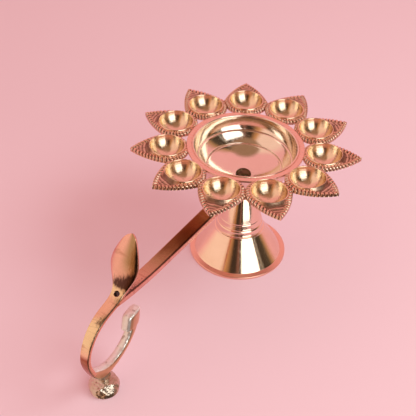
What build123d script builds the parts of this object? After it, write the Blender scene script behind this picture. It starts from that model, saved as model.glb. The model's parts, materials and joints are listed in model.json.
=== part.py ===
"""Aarti lamp: a bowl ringed by petal cups on a bell stand, with a leaf-and-curl handle.

Frame: the lamp's axis is Z, the ground is Z = 0 and the handle reaches out along -X.
Sizes are in millimetres.
"""
from build123d import *
import math
import os

# Clearances
RUN_FIT = 0.05
BRAZE_GAP = 0.05

# Centre bolt, washer and nut
BOLT_R = 3.0
BOLT_HEAD_BRIM = 2.2
BOLT_HEAD_H = 3.0
BOLT_TAIL = 2.0
WASHER_BRIM = 3.4
WASHER_T = 1.2
NUT_WALL = 2.0
NUT_H = 5.0
NUT_ROOM = 1.6

# Stand: a hollow turned bell
STAND_H = 58.5
STAND_BASE_R = 33.6
STAND_EDGE_H = 0.7
STAND_LIP_W = 3.2
STAND_LIP_H = 2.4
BELL_MID_R = 18.0
BELL_MID_Z = 22.9
BELL_UPPER_R = 13.6
NECK_DROP = 8.0
STAND_SEAT_R = 11.5
STAND_SEAT_H = 1.6
STAND_WALL = 2.4
STAND_TOP_WALL = 4.0

# Bowl: an elliptical hollow under a flat flange
BOWL_MOUTH_R = 33.6
BOWL_DEPTH = 24.0
BOWL_FLOOR = 3.7
BOWL_FLOOR_MARGIN = 1.8
BOWL_WALL = 2.0
BOWL_BOSS_R = 11.5
FLANGE_W = 4.9
FLANGE_T = 2.0
SQUARE_HOLE_WEB = 1.2

# Petal cups round the flange
PETAL_COUNT = 11
PETAL_SLACK = 0.27
PETAL_POINT = 23.0
PETAL_BITE = 1.5
PETAL_SIDE_BULGE = 2.4
PETAL_EDGE_H = 2.0
BORDER_W = 3.8
PAN_DEPTH = 1.2
CUP_MARGIN = 3.6
CUP_BACK = 1.0
CUP_RISE = 2.2
CUP_DEPTH = 10.4
CUP_WALL = 1.2
CUP_LIP_W = 0.8
FLOWER_TURN_DEG = -2.25

# Handle bar: a flat taper whose end rises to the leaf
BAR_T = 3.3
EYE_R = 11.0
BAR_ROOT_W = 10.6
BAR_END_W = 8.6
BAR_STRAIGHT = 98.0
BAR_RISE_RUN = 45.0
BAR_RISE = 4.1
BAR_LAP_BACK = 2.0
BAR_LAP_H = 2.6

# Leaf and curl: front face as (outward, upward) from the underside of the bar's end
LEAF_TIP = (-19.0, 38.4)
LEAF_BELLY = (-10.4, 20.9)
LEAF_ROOT = (-4.0, 4.3)
CURL_TOP = (10.5, -0.6)
CURL_SHOULDER = (22.3, -9.4)
CURL_FRONT = (27.4, -24.1)
CURL_END = (22.2, -41.0)
LEAF_TIP_T = 1.3
CURL_T = 2.9
LEAF_TIP_W = 1.4
LEAF_SHOULDER_W = 13.2
LEAF_SHOULDER_UP = 31.0
LEAF_W = 18.2
LEAF_ROOT_W = 8.2
CURL_TOP_W = 7.2
STRIP_STATIONS = 24

# Hollow rivet at the leaf's root
RIVET_R = 1.7
RIVET_WALL = 0.4

# Finger hook: upper and lower edges from the curl's end to the knob, in the leaf's coordinates
HOOK_ROOT_TOP = (2.6, 7.9)
HOOK_ROOT_LOW = (-0.6, -0.6)
HOOK_UPPER = [(18.0, -38.0), (7.0, -43.7), (-2.8, -42.6), (-11.6, -36.2), (-15.2, -26.6)]
HOOK_LOWER = [(15.6, -49.4), (9.5, -51.0), (-2.0, -47.6), (-14.0, -40.0), (-20.4, -30.1), (-21.4, -24.6)]
HOOK_W = 5.4
KNOB_R = 4.8
KNOB_W = 7.4
KNOB_CREST = (-0.4, 0.6)
KNOB_CHIN = (2.7, -1.9)

# Button foot under the hook
FOOT_AT = 10.8
FOOT_R = 9.7
FOOT_EDGE_H = 2.6
FOOT_NECK_H = 2.6
FOOT_NECK_R = 4.6
FOOT_SEAT_CUT = 0.4

# Sizes that follow from the bolt
BOLT_HOLE_R = BOLT_R + RUN_FIT
BOLT_HEAD_R = BOLT_R + BOLT_HEAD_BRIM
BOLT_SQUARE_H = BOWL_FLOOR - SQUARE_HOLE_WEB
WASHER_R = BOLT_R + WASHER_BRIM
NECK_R = WASHER_R + NUT_ROOM + STAND_WALL

# Heights that follow from the stack on the bolt
EYE_TOP_Z = STAND_H + BAR_T
FLOOR_Z = EYE_TOP_Z + BOWL_FLOOR
RIM_Z = FLOOR_Z + BOWL_DEPTH
STAND_ROOF_Z = STAND_H - STAND_TOP_WALL
NUT_TOP_Z = STAND_ROOF_Z - WASHER_T
NUT_BOTTOM_Z = NUT_TOP_Z - NUT_H

# Radii that follow from the bowl and the petals
FLANGE_R = BOWL_MOUTH_R + FLANGE_W
FLOOR_FLAT_R = BOLT_HEAD_R + BOWL_FLOOR_MARGIN
PETAL_STEP_DEG = 360.0 / PETAL_COUNT
SECTOR_SLOPE = math.tan(math.radians(PETAL_STEP_DEG / 2))
PETAL_HALF_W = ((FLANGE_R - PETAL_BITE) * SECTOR_SLOPE - PETAL_SLACK) / (1 - SECTOR_SLOPE)
CUP_AXIS_R = FLANGE_R + PETAL_HALF_W - PETAL_BITE
PETAL_TIP_R = CUP_AXIS_R + PETAL_POINT
CUP_R = PETAL_HALF_W - CUP_MARGIN

# Where the bar ends, and the foot's seat under the hook
BAR_END = BAR_STRAIGHT + BAR_RISE_RUN
BAR_END_Z = STAND_H + BAR_RISE
FOOT_TOP_Z = BAR_END_Z + min(height for _, height in HOOK_LOWER) + FOOT_SEAT_CUT
FOOT_DOME_Z = FOOT_TOP_Z - FOOT_NECK_H


def turned(edges):
    """Spin a closed half outline on the XZ plane round the lamp's axis."""
    return revolve(make_face(edges), Axis.Z)


def drill(radius, bottom, top):
    """Round bar on the lamp's axis from one height to another."""
    return Pos(0, 0, (bottom + top) / 2) * Cylinder(radius, top - bottom)


def through(face, width):
    """Extrude a face of the XZ plane to both sides of it, to a full width."""
    return extrude(face, width / 2, both=True)


def on_handle(points):
    """Put (outward, upward) points, counted from the bar's end, on the XZ plane."""
    return [Vector(-BAR_END - outward, 0, BAR_END_Z + upward) for outward, upward in points]


def bell_line(inset):
    """Points of the bell from its foot to its neck, moved inwards by the inset."""
    foot_r = STAND_BASE_R - STAND_LIP_W
    neck_z = STAND_H - NECK_DROP
    upper_z = (BELL_MID_Z + neck_z) / 2
    line = [(foot_r, STAND_LIP_H), (BELL_MID_R, BELL_MID_Z), (BELL_UPPER_R, upper_z), (NECK_R, neck_z)]
    return [Vector(radius - inset, 0, z) for radius, z in line]


def make_stand():
    """Bell with a sloping lip band, a waisted neck, a hollow inside and a drilled seat on top."""
    outside = bell_line(0)
    inside = bell_line(STAND_WALL)
    foot_slope = outside[1] - outside[0]
    upright = Vector(0, 0, 1)
    mouth = Vector(inside[0].X, 0, 0)
    seat_edge = Vector(STAND_SEAT_R, 0, STAND_H - STAND_SEAT_H)
    outline = [
        Polyline(mouth, (STAND_BASE_R, 0, 0), (STAND_BASE_R, 0, STAND_EDGE_H), outside[0]),
        Spline(*outside, tangents=(foot_slope, upright)),
        TangentArc(outside[-1], seat_edge, tangent=upright),
        Polyline(seat_edge, (STAND_SEAT_R, 0, STAND_H), (0, 0, STAND_H), (0, 0, STAND_ROOF_Z)),
        Polyline((0, 0, STAND_ROOF_Z), (inside[-1].X, 0, STAND_ROOF_Z), inside[-1]),
        Spline(*inside, tangents=(foot_slope, upright)),
        Line(inside[0], mouth),
    ]
    return turned(outline) - drill(BOLT_HOLE_R, STAND_ROOF_Z, STAND_H)


def bowl_curve(wall, flat_r, flat_z):
    """Quarter ellipse of the bowl, from its flat middle up to the rim's height."""
    x_radius = BOWL_MOUTH_R + wall
    sweep = math.acos(flat_r / x_radius)
    y_radius = (RIM_Z - flat_z) / math.sin(sweep)
    turn = math.degrees(sweep)
    return Plane.XZ * EllipticalCenterArc((0, RIM_Z), x_radius, y_radius, start_angle=-turn, arc_size=turn)


def make_bowl():
    """Elliptical bowl with a flange round its mouth, a flat boss below and a square bolt hole."""
    wall_r = BOWL_MOUTH_R + BOWL_WALL
    outline = [
        bowl_curve(0, FLOOR_FLAT_R, FLOOR_Z),
        Line((BOWL_MOUTH_R, 0, RIM_Z), (wall_r, 0, RIM_Z)),
        bowl_curve(BOWL_WALL, BOWL_BOSS_R, EYE_TOP_Z),
        Polyline((BOWL_BOSS_R, 0, EYE_TOP_Z), (0, 0, EYE_TOP_Z), (0, 0, FLOOR_Z), (FLOOR_FLAT_R, 0, FLOOR_Z)),
    ]
    flange = drill(FLANGE_R, RIM_Z - FLANGE_T, RIM_Z) - drill(wall_r - BOWL_WALL / 2, RIM_Z - FLANGE_T, RIM_Z)
    square = 2 * BOLT_HOLE_R
    neck_hole = Pos(0, 0, FLOOR_Z - BOLT_SQUARE_H / 2) * Box(square, square, BOLT_SQUARE_H)
    return turned(outline) + flange - neck_hole - drill(BOLT_HOLE_R, EYE_TOP_Z, FLOOR_Z)


def petal_outline():
    """Pointed petal seen from above: two bowed sides from the tip and a round back."""
    tip = (PETAL_TIP_R, 0)
    left = (CUP_AXIS_R, PETAL_HALF_W)
    right = (CUP_AXIS_R, -PETAL_HALF_W)
    back = (CUP_AXIS_R - PETAL_HALF_W, 0)
    left_side = SagittaArc(tip, left, -PETAL_SIDE_BULGE)
    right_side = SagittaArc(right, tip, -PETAL_SIDE_BULGE)
    return make_face([left_side, ThreePointArc(left, back, right), right_side])


def petal_wedge():
    """Sector of the flower that one petal may fill, half a braze gap short of its neighbours."""
    half_step = math.radians(PETAL_STEP_DEG / 2)
    apex = BRAZE_GAP / 2 / math.sin(half_step)
    far = 2 * PETAL_TIP_R
    half_w = (far - apex) * math.tan(half_step)
    sector = make_face(Polyline((apex, 0), (far, -half_w), (far, half_w), close=True))
    return extrude(sector, RIM_Z + CUP_RISE)


def make_petal():
    """One petal on the +X side: bordered pan, round cup with a lip above the border, and domed underside."""
    outline = Pos(0, 0, RIM_Z) * petal_outline()
    pan_z, lip_z = RIM_Z - PAN_DEPTH, RIM_Z + CUP_RISE
    cup_axis = Pos(CUP_AXIS_R - CUP_BACK, 0, 0)
    cup_sphere_r = (CUP_R ** 2 + CUP_DEPTH ** 2) / (2 * CUP_DEPTH)
    cup_at = cup_axis * Pos(0, 0, lip_z - CUP_DEPTH + cup_sphere_r)
    dome_r = cup_sphere_r + CUP_WALL
    dome = cup_at * Sphere(dome_r) & cup_axis * drill(dome_r, lip_z - CUP_DEPTH - CUP_WALL, pan_z)
    pan = extrude(offset(outline, -BORDER_W, kind=Kind.INTERSECTION), -PAN_DEPTH)
    petal = extrude(outline, -PETAL_EDGE_H) - pan + dome + cup_axis * drill(CUP_R + CUP_LIP_W, pan_z, lip_z)
    petal -= cup_at * Sphere(cup_sphere_r)
    return (petal & petal_wedge()) - drill(FLANGE_R + BRAZE_GAP, 0, RIM_Z)


def make_petals():
    """All petals, counted counter-clockwise from above, with the handle between two of them."""
    petal = make_petal()
    first_deg = 180 + FLOWER_TURN_DEG + (0.5 - PETAL_COUNT // 2) * PETAL_STEP_DEG
    turns = [first_deg + k * PETAL_STEP_DEG for k in range(PETAL_COUNT)]
    return {f"petal_{k + 1:02d}": Rot(0, 0, turn) * petal for k, turn in enumerate(turns)}


def make_bolt():
    """Dome head in the bowl, square neck in the bowl's floor and a round shank down through the nut."""
    cap_r = (BOLT_HEAD_R ** 2 + BOLT_HEAD_H ** 2) / (2 * BOLT_HEAD_H)
    head = Pos(0, 0, FLOOR_Z + BOLT_HEAD_H - cap_r) * Sphere(cap_r)
    head &= drill(BOLT_HEAD_R, FLOOR_Z, FLOOR_Z + BOLT_HEAD_H)
    neck = Pos(0, 0, FLOOR_Z - BOLT_SQUARE_H / 2) * Box(2 * BOLT_R, 2 * BOLT_R, BOLT_SQUARE_H)
    return head + neck + drill(BOLT_R, NUT_BOTTOM_Z - BOLT_TAIL, FLOOR_Z)


def make_washer():
    """Flat washer under the stand's top wall."""
    return drill(WASHER_R, NUT_TOP_Z, STAND_ROOF_Z) - drill(BOLT_HOLE_R, NUT_TOP_Z, STAND_ROOF_Z)


def make_nut():
    """Hex nut that clamps the whole stack."""
    hexagon = RegularPolygon(BOLT_R + NUT_WALL, 6, major_radius=False)
    return extrude(Pos(0, 0, NUT_BOTTOM_Z) * hexagon, NUT_H) - drill(BOLT_HOLE_R, NUT_BOTTOM_Z, NUT_TOP_Z)


def leaf_line():
    """Front face of the leaf and curl seen from the side, from the leaf's tip to the curl's end."""
    points = [LEAF_TIP, LEAF_BELLY, LEAF_ROOT, CURL_TOP, CURL_SHOULDER, CURL_FRONT, CURL_END]
    return Spline(*on_handle(points))


def leaf_root_share(line):
    """How far along the leaf's front face its root lies, from 0 to 1."""
    return line.param_at_point(on_handle([LEAF_ROOT])[0])


def behind(line, share, depth):
    """Point at a share of the front face, moved square to it into the metal by the depth."""
    tangent = line % share
    return line @ share + Vector(-tangent.Z, 0, tangent.X) * depth


def leaf_side_view(extra):
    """Side outline of the leaf and curl, with its back face moved out by the extra depth."""
    front = leaf_line()
    root_share = leaf_root_share(front)
    back_points = []
    for station in range(STRIP_STATIONS + 1):
        share = station / STRIP_STATIONS
        thickness = LEAF_TIP_T + (CURL_T - LEAF_TIP_T) * min(1, share / root_share)
        back_points.append(behind(front, share, thickness + extra))
    back = Spline(*back_points)
    return make_face([front, Line(front @ 0, back @ 0), back, Line(front @ 1, back @ 1)])


def leaf_seat():
    """Cutter in the shape of the leaf and curl, a braze gap larger at the back."""
    return through(leaf_side_view(BRAZE_GAP), 2 * LEAF_W)


def make_leaf_curl():
    """Leaf and curl: the side outline run across, trimmed to the widths seen from the front."""
    marks = [LEAF_TIP, (0, LEAF_SHOULDER_UP), LEAF_BELLY, LEAF_ROOT, CURL_TOP, CURL_END]
    widths = [LEAF_TIP_W, LEAF_SHOULDER_W, LEAF_W, LEAF_ROOT_W, CURL_TOP_W, HOOK_W]
    left = Spline(*[Vector(0, width / 2, mark.Z) for width, mark in zip(widths, on_handle(marks))])
    right = mirror(left, Plane.XZ)
    front_view = make_face([left, Line(left @ 0, right @ 0), right, Line(left @ 1, right @ 1)])
    return through(leaf_side_view(0), 2 * LEAF_W) & extrude(front_view, 2 * BAR_END, dir=(-1, 0, 0))


def make_handle_bar():
    """Flat tapered bar with a drilled eye; its end rises and laps under the leaf's root."""
    eye_low, eye_high = Vector(0, 0, STAND_H), Vector(0, 0, EYE_TOP_Z)
    bend_low, bend_high = Vector(-BAR_STRAIGHT, 0, STAND_H), Vector(-BAR_STRAIGHT, 0, EYE_TOP_Z)
    end_low, end_high = on_handle([(0, 0), (-BAR_LAP_BACK, BAR_LAP_H)])
    outward = Vector(-1, 0, 0)
    side_view = make_face([
        Line(eye_low, bend_low),
        TangentArc(bend_low, end_low, tangent=outward),
        Line(end_low, end_high),
        TangentArc(bend_high, end_high, tangent=outward),
        Polyline(bend_high, eye_high, eye_low),
    ])
    root, end = BAR_ROOT_W / 2, BAR_END_W / 2
    plan = make_face(Polyline((0, -root), (0, root), (-BAR_END, end), (-BAR_END, -end), close=True))
    bar = through(side_view, BAR_ROOT_W) & extrude(plan, RIM_Z)
    bar += drill(EYE_R, STAND_H, EYE_TOP_Z)
    return bar - drill(BOLT_HOLE_R, STAND_H, EYE_TOP_Z) - leaf_seat()


def rivet_plane():
    """Plane on the leaf's front face at its root, facing out of the leaf."""
    line = leaf_line()
    share = leaf_root_share(line)
    return Plane(line @ share, z_dir=behind(line, share, -1) - line @ share)


def rivet_hole():
    """Cutter for the rivet's hole through the leaf and the bar behind it."""
    return rivet_plane() * Cylinder(RIVET_R + BRAZE_GAP, 4 * (CURL_T + BAR_T))


def make_rivet():
    """Hollow rivet, flush with the leaf's front face and driven into the bar's end."""
    length = CURL_T + BAR_T
    tube = Cylinder(RIVET_R, length) - Cylinder(RIVET_R - RIVET_WALL, length)
    return rivet_plane() * Pos(0, 0, -length / 2) * tube


def hook_edges():
    """Upper and lower edge points of the hook, each starting at the curl's end."""
    end_out, end_up = CURL_END
    roots = [(end_out + out, end_up + up) for out, up in (HOOK_ROOT_TOP, HOOK_ROOT_LOW)]
    return on_handle([roots[0]] + HOOK_UPPER), on_handle([roots[1]] + HOOK_LOWER)


def make_knob(arm_end):
    """Fat rounded knob over the arm's end, leaning into the loop, with its sides filed flat."""
    crest, chin = [arm_end + Vector(-outward, 0, upward) for outward, upward in (KNOB_CREST, KNOB_CHIN)]
    lean = chin - crest
    middle = Plane((crest + chin) / 2, z_dir=lean)
    knob = Pos(crest) * Sphere(KNOB_R) + Pos(chin) * Sphere(KNOB_R) + middle * Cylinder(KNOB_R, lean.length)
    reach = lean.length + 2 * KNOB_R
    return knob & middle * Box(reach, KNOB_W, reach)


def make_hook():
    """Cast hook: a curved arm that ends in a knob, cut to fit inside the curl and onto the foot."""
    upper_points, lower_points = hook_edges()
    upper, lower = Spline(*upper_points), Spline(*lower_points)
    arm = through(make_face([upper, Line(upper @ 0, lower @ 0), lower, Line(upper @ 1, lower @ 1)]), HOOK_W)
    knob = make_knob((upper @ 1 + lower @ 1) / 2)
    foot_seat = Pos(-BAR_END - FOOT_AT, 0, 0) * drill(FOOT_R, 0, FOOT_TOP_Z)
    return arm + knob - foot_seat - leaf_seat()


def make_foot():
    """Squat button with a domed top and a short neck up to the hook."""
    edge = Vector(FOOT_R, 0, FOOT_EDGE_H)
    neck = Vector(FOOT_NECK_R, 0, FOOT_DOME_Z)
    outline = [
        Polyline((0, 0, 0), (FOOT_R, 0, 0), edge),
        TangentArc(edge, neck, tangent=(0, 0, 1)),
        Polyline(neck, (FOOT_NECK_R, 0, FOOT_TOP_Z), (0, 0, FOOT_TOP_Z), (0, 0, 0)),
    ]
    return Pos(-BAR_END - FOOT_AT, 0, 0) * turned(outline)


def make_parts():
    """Every piece of the lamp by its node's name."""
    parts = {
        "stand": make_stand(),
        "bowl": make_bowl(),
        "center_bolt": make_bolt(),
        "stand_washer": make_washer(),
        "clamp_nut": make_nut(),
        "handle_bar": make_handle_bar() - rivet_hole(),
        "leaf_curl": make_leaf_curl() - rivet_hole(),
        "leaf_rivet": make_rivet(),
        "finger_hook": make_hook(),
        "hook_foot": make_foot(),
    }
    parts.update(make_petals())
    return parts


os.makedirs("parts", exist_ok=True)
for node, shape in make_parts().items():
    export_step(shape, f"parts/{node}.step")
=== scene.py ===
# %% [markdown]
# # An aarti lamp in brass
# The lamp is a turned bell stand, a turned bowl ringed by eleven cast petal cups, and a long handle that
# ends in a thumb leaf, a finger curl and a button foot. The CAD frame fixes every size. This lesson lays
# a finished surface over each solid, and all shapes are written in millimetres until the mesh is made.

# %% Load the frame
import json
import math

import bpy
import numpy as np
from mathutils import Matrix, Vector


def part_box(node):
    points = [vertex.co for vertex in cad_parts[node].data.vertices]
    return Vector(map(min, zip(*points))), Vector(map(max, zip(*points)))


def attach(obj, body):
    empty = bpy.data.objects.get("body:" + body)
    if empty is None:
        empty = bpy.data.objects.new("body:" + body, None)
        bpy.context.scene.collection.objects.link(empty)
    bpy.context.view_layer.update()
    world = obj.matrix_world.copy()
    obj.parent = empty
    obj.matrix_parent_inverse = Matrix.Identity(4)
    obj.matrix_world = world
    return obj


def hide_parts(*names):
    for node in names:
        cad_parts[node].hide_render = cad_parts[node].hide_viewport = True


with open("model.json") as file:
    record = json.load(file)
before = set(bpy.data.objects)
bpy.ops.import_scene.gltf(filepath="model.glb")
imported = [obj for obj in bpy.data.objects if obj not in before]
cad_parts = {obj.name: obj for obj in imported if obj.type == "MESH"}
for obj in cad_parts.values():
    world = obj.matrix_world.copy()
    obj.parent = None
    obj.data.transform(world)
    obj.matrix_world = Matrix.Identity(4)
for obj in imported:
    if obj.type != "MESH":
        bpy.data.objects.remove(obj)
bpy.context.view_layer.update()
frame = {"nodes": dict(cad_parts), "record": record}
MM = 0.001

# %% [markdown]
# ## Camera
# The photograph looks down on the lamp from the handle's side. Its place and direction were fitted to the
# petal tips, the flange and the base circle, so the camera is written as a place, a heading, a tilt and a
# small roll.

# %% Camera
CAMERA_AT = (-0.4189, -0.2227, 0.4245)
CAMERA_HEADING = math.radians(30.69)
CAMERA_TILT = math.radians(39.46)
CAMERA_ROLL = math.radians(3.04)
CAMERA_LENS = 77.17


def camera_axes(heading, tilt, roll):
    """Right, up and forward of a camera that looks along the heading, tilted down and rolled."""
    level = math.cos(tilt)
    forward = np.array([math.cos(heading) * level, math.sin(heading) * level, -math.sin(tilt)])
    right = np.array([math.sin(heading), -math.cos(heading), 0.0])
    up = np.cross(right, forward)
    rolled_right = math.cos(roll) * right + math.sin(roll) * up
    rolled_up = math.cos(roll) * up - math.sin(roll) * right
    return rolled_right, rolled_up, forward


camera = bpy.data.objects.new("camera", bpy.data.cameras.new("camera"))
camera.data.lens = CAMERA_LENS
right, up, forward = camera_axes(CAMERA_HEADING, CAMERA_TILT, CAMERA_ROLL)
camera_matrix = np.eye(4)
camera_matrix[:3, :3] = np.stack([right, up, -forward], axis=1)
camera_matrix[:3, 3] = CAMERA_AT
camera.matrix_world = Matrix(camera_matrix)
bpy.context.scene.collection.objects.link(camera)
bpy.context.scene.camera = camera
print("camera looks along", np.round(forward, 3))

# %% [markdown]
# ## From a grid to a mesh
# Every new piece is a grid of points: one parameter runs round the piece and closes on itself, the other
# runs along it. A grid whose rows also close is a ring, as a turned piece with a bore is. Otherwise each
# end is closed by a fan of triangles round the middle of its last row.

# %% Grid to mesh
def grid_quads(rows, columns, ring):
    """Corner numbers of every quad of a grid whose columns close, and whose rows close if it is a ring."""
    row, column = np.meshgrid(np.arange(rows if ring else rows - 1), np.arange(columns), indexing="ij")
    next_row = (row + 1) % rows
    next_column = (column + 1) % columns
    corners = [(row, column), (row, next_column), (next_row, next_column), (next_row, column)]
    return np.stack([r * columns + c for r, c in corners], axis=-1).reshape(-1, 4)


def end_fan(middle, loop):
    """Triangles from a middle point to each edge of a closed loop of point numbers."""
    return np.stack([np.full(len(loop), middle), loop, np.roll(loop, -1)], axis=-1)


def enclosed_volume(points, triangles):
    """Sum of the signed tetrahedra from the origin to each triangle: positive when faces point outwards."""
    a, b, c = points[triangles[:, 0]], points[triangles[:, 1]], points[triangles[:, 2]]
    return np.einsum("ij,ij->", a, np.cross(b, c)) / 6


def surface_mesh(name, grid, ring=False, values=None, sharp_deg=35):
    """Closed mesh of a (rows, columns, 3) grid in millimetres; faces outwards, values as attributes."""
    rows, columns, _ = grid.shape
    points = grid.reshape(-1, 3) * MM
    quads = grid_quads(rows, columns, ring)
    fans = np.empty((0, 3), int)
    values = {key: np.broadcast_to(value, (rows, columns)).ravel() for key, value in (values or {}).items()}
    if not ring:
        points = np.concatenate([points, grid[:1].mean(axis=1) * MM, grid[-1:].mean(axis=1) * MM])
        first_loop = np.arange(columns)
        last_loop = first_loop + (rows - 1) * columns
        first_middle, last_middle = len(points) - 2, len(points) - 1
        fans = np.concatenate([end_fan(first_middle, first_loop[::-1]), end_fan(last_middle, last_loop)])
        values = {key: np.append(value, [value[0], value[-1]]) for key, value in values.items()}
    triangles = np.concatenate([quads[:, :3], quads[:, [0, 2, 3]], fans])
    if enclosed_volume(points, triangles) < 0:
        quads, fans = quads[:, ::-1], fans[:, ::-1]
    mesh = bpy.data.meshes.new(name)
    mesh.vertices.add(len(points))
    mesh.vertices.foreach_set("co", points.astype(np.float32).ravel())
    mesh.loops.add(quads.size + fans.size)
    mesh.loops.foreach_set("vertex_index", np.concatenate([quads.ravel(), fans.ravel()]).astype(np.int32))
    mesh.polygons.add(len(quads) + len(fans))
    starts = np.concatenate([np.arange(len(quads)) * 4, quads.size + np.arange(len(fans)) * 3])
    mesh.polygons.foreach_set("loop_start", starts.astype(np.int32))
    mesh.update(calc_edges=True)
    mesh.shade_smooth()
    mesh.set_sharp_from_angle(angle=math.radians(sharp_deg))
    for key, value in values.items():
        attribute = mesh.attributes.new(key, "FLOAT", "POINT")
        attribute.data.foreach_set("value", value.astype(np.float32))
    return mesh


def dress(name, mesh, body, slot, *nodes):
    """Put a finished mesh in the scene: it rides on a body, has a finish and stands for CAD nodes."""
    piece = bpy.data.objects.new(name, mesh)
    bpy.context.scene.collection.objects.link(piece)
    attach(piece, body)
    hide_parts(*nodes)
    mesh.materials.append(FINISHES[slot])
    print(name, "has", len(mesh.polygons), "faces")
    return piece


# %% [markdown]
# ## Lines that the shapes follow
# Turned pieces and bent strips start as a line through a few measured points. A cubic with free ends
# passes through all of them without a kink, corners are rounded with a short parabola, and a groove is a
# narrow dip square to the line.

# %% Line helpers
def smooth_line(points, count):
    """Cubic through the points with chord lengths as knots; slopes at the knots make the curvature
    continuous and leave both ends free."""
    p = np.asarray(points, float)
    chord = np.linalg.norm(np.diff(p, axis=0), axis=1)
    rise = np.diff(p, axis=0) / chord[:, None]
    size = len(p)
    matrix, target = np.eye(size), np.zeros_like(p)
    inner = np.arange(1, size - 1)
    matrix[inner, inner - 1] = chord[1:]
    matrix[inner, inner] = 2 * (chord[:-1] + chord[1:])
    matrix[inner, inner + 1] = chord[:-1]
    target[inner] = 3 * (chord[1:, None] * rise[:-1] + chord[:-1, None] * rise[1:])
    for end, beside, run in ((0, 1, rise[0]), (size - 1, size - 2, rise[-1])):
        matrix[end, beside] = 0.5
        target[end] = 1.5 * run
    slopes = np.linalg.solve(matrix, target)
    knots = np.concatenate([[0], np.cumsum(chord)])
    along = np.linspace(0, knots[-1], count)
    span = np.clip(np.searchsorted(knots, along, side="right") - 1, 0, size - 2)
    h = chord[span][:, None]
    t = ((along - knots[span]) / chord[span])[:, None]
    start, end = p[span], p[span + 1]
    blend = t * t * (3 - 2 * t)
    return start + (end - start) * blend + h * t * (1 - t) * ((1 - t) * slopes[span] - t * slopes[span + 1])


def rounded(corners, steps=5):
    """Line through (x, z, rounding) corners, each cut back by its rounding and joined by a parabola."""
    p = np.array([corner[:2] for corner in corners], float)
    size = np.array([corner[2] for corner in corners], float)[:, None]
    ahead = np.roll(p, -1, axis=0) - p
    behind = np.roll(p, 1, axis=0) - p
    to_next = p + ahead / np.maximum(np.linalg.norm(ahead, axis=1), 1e-9)[:, None] * size
    to_last = p + behind / np.maximum(np.linalg.norm(behind, axis=1), 1e-9)[:, None] * size
    t = np.linspace(0, 1, steps)[None, :, None]
    curves = (1 - t) ** 2 * to_last[:, None] + 2 * t * (1 - t) * p[:, None] + t ** 2 * to_next[:, None]
    keep = np.ones((len(p), steps), bool)
    keep[size[:, 0] == 0, 1:] = False
    return curves[keep]


def even_line(line, count):
    """Points at even steps of length along a line of straight runs."""
    length = np.concatenate([[0], np.cumsum(np.linalg.norm(np.diff(line, axis=0), axis=1))])
    even = np.linspace(0, length[-1], count)
    return np.stack([np.interp(even, length, line[:, 0]), np.interp(even, length, line[:, 1])], axis=1)


def grooved(line, places, depth, width):
    """Dip the line square to itself near each place: a bell curve, with a low shoulder on either side."""
    tangent = np.gradient(line, axis=0)
    tangent /= np.linalg.norm(tangent, axis=1)[:, None]
    normal = np.stack([-tangent[:, 1], tangent[:, 0]], axis=1)
    length = np.concatenate([[0], np.cumsum(np.linalg.norm(np.diff(line, axis=0), axis=1))])
    for place in places:
        nearest = length[np.argmin(np.linalg.norm(line - np.asarray(place), axis=1))]
        away = (length - nearest) / width
        dip = np.exp(-away ** 2) - 0.25 * np.exp(-(np.abs(away) - 2) ** 2)
        line = line - normal * (depth * dip)[:, None]
    return line


def spin(profile, turns):
    """Turn a profile round Z: row i and column j are at radius r_i, height z_i and angle j."""
    angle = np.linspace(0, 2 * np.pi, turns, endpoint=False)
    radius, height = np.asarray(profile, float).T
    level = np.outer(height, np.ones(turns))
    return np.stack([np.outer(radius, np.cos(angle)), np.outer(radius, np.sin(angle)), level], axis=-1)


def lumps(points, size, seed, waves=14):
    """Cloudy bumps, mostly between -1 and 1: a sum of plane waves of about one size in random directions."""
    random = np.random.default_rng(seed)
    direction = random.normal(size=(waves, 3))
    direction /= np.linalg.norm(direction, axis=1)[:, None]
    pace = 2 * np.pi / (size * random.uniform(0.7, 1.5, waves))
    phase = random.uniform(0, 2 * np.pi, waves)
    return np.sin(points @ (direction * pace[:, None]).T + phase).sum(axis=-1) / math.sqrt(waves)


# %% [markdown]
# ## Effects that the finishes share
# All of the lamp is brass, and what sets one piece apart from another is how it was worked. Two node
# groups give the working marks: fine scratches from wiping and handling, and stains where the polish has
# dulled. Each puts out a mask that the finishes feed to colour, roughness or bump in their own strength.

# %% Shader helpers
def new_group(name, inputs, outputs):
    """Empty shader node group with float or vector inputs (given by their default) and float outputs."""
    group = bpy.data.node_groups.new(name, "ShaderNodeTree")
    for key, default in inputs.items():
        kind = "NodeSocketVector" if default is None else "NodeSocketFloat"
        socket = group.interface.new_socket(key, in_out="INPUT", socket_type=kind)
        if default is not None:
            socket.default_value = default
    for key in outputs:
        group.interface.new_socket(key, in_out="OUTPUT", socket_type="NodeSocketFloat")
    return group, group.nodes.new("NodeGroupInput"), group.nodes.new("NodeGroupOutput")


def add_node(tree, kind, settings=None, **links):
    """Add a node, set its properties, and set or link its inputs by socket name."""
    node = tree.nodes.new(kind)
    for key, value in (settings or {}).items():
        setattr(node, key, value)
    for key, value in links.items():
        socket = node.inputs[int(key[1:]) if key[0] == "i" and key[1:].isdigit() else key.replace("_", " ")]
        if isinstance(value, bpy.types.NodeSocket):
            tree.links.new(value, socket)
        else:
            socket.default_value = value
    return node


def math_node(tree, operation, first, second=0.0, third=0.0):
    """Result of one arithmetic step on two or three values."""
    node = add_node(tree, "ShaderNodeMath", {"operation": operation}, i0=first, i1=second, i2=third)
    return node.outputs[0]


def spread(tree, value, low, high, start=0.0, end=1.0):
    """Map a value from one span to another, held at both ends."""
    node = add_node(tree, "ShaderNodeMapRange", {}, Value=value)
    for key, number in (("From Min", low), ("From Max", high), ("To Min", start), ("To Max", end)):
        node.inputs[key].default_value = number
    return node.outputs["Result"]


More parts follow.
